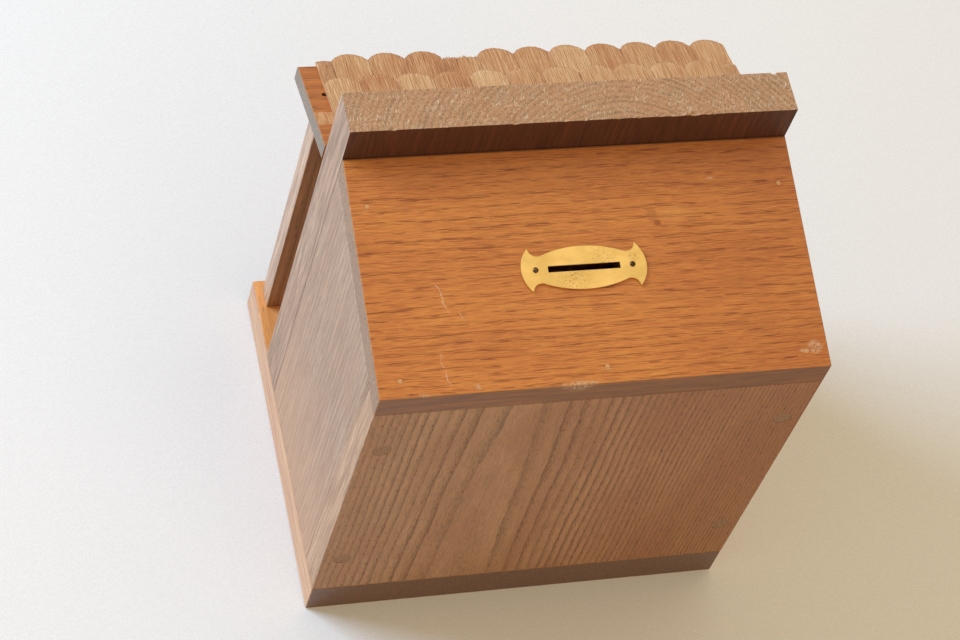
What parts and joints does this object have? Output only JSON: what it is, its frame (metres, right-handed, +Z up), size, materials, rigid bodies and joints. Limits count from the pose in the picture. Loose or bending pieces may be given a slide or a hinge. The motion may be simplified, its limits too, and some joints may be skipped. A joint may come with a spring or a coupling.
{
  "type": "donation box",
  "caption": "Wooden donation box with a sloped lid, brass coin slot, side door with cam lock, and a shingled canopy behind it.",
  "frame": {"origin": "middle of the base board's underside, on the surface that the box stands on", "axes": "+Z up, the front panel faces -Y and the shingled canopy is at +Y, +X to the right with the side door"},
  "size_m": [0.2439, 0.225, 0.2819],
  "materials": {
    "base_wood": "satin varnish over brown oak-like boards",
    "front_wood": "flat-sawn, dull brown wax finish",
    "side_wood": "grey-tan, matte",
    "back_wood": "dark brown face, rough-sawn end grain on top",
    "lid_wood": "orange-brown satin varnish",
    "plate_brass": "polished sheet with tarnish specks",
    "pin_bronze": "darkened round heads",
    "nail_filler": "wood filler over the nail heads",
    "screw_steel": "zinc-plated",
    "plug_wood": "end-cut plugs, waxed",
    "rear_wood": "satin varnish",
    "canopy_wood": "orange satin varnish",
    "nail_steel": "rusty wire nails",
    "shingle_wood": "raw, rough-sawn",
    "hinge_brass": "satin brass",
    "lock_nickel": "nickel-plated, satin"
  },
  "bodies": {
    "box": {"base_board": "base_wood", "front_panel": "front_wood", "left_side_panel": "side_wood", "right_side_panel": "side_wood", "back_board": "back_wood", "slot_lid": "lid_wood", "slot_plate": "plate_brass", "slot_plate_pins": "pin_bronze", "lid_nails": "nail_filler", "front_screws": "screw_steel", "front_plugs": "plug_wood", "back_screws": "screw_steel", "base_screws": "screw_steel", "rear_board": "rear_wood", "canopy_board": "canopy_wood", "canopy_nails": "nail_steel", "lower_shingles": "shingle_wood", "upper_shingles": "shingle_wood", "hinge_frame_leaves": "hinge_brass", "hinge_pins": "hinge_brass", "hinge_frame_screws": "hinge_brass"},
    "door": {"side_door": "side_wood", "hinge_door_leaves": "hinge_brass", "hinge_door_screws": "hinge_brass", "lock_barrel": "lock_nickel", "lock_nut": "lock_nickel"},
    "lock_core": {"lock_plug": "lock_nickel", "lock_cam": "screw_steel", "cam_screw": "screw_steel"}
  },
  "joints": [
    {"name": "door_swing", "type": "hinge", "parent": "box", "child": "door", "pos_m": [0.1221, 0.0115, 0.094], "axis": [0, 0, 1], "range_deg": [0, 170]},
    {"name": "lock_turn", "type": "hinge", "parent": "door", "child": "lock_core", "pos_m": [0.12, -0.046, 0.094], "axis": [1, 0, 0], "range_deg": [0, 90]}
  ]
}
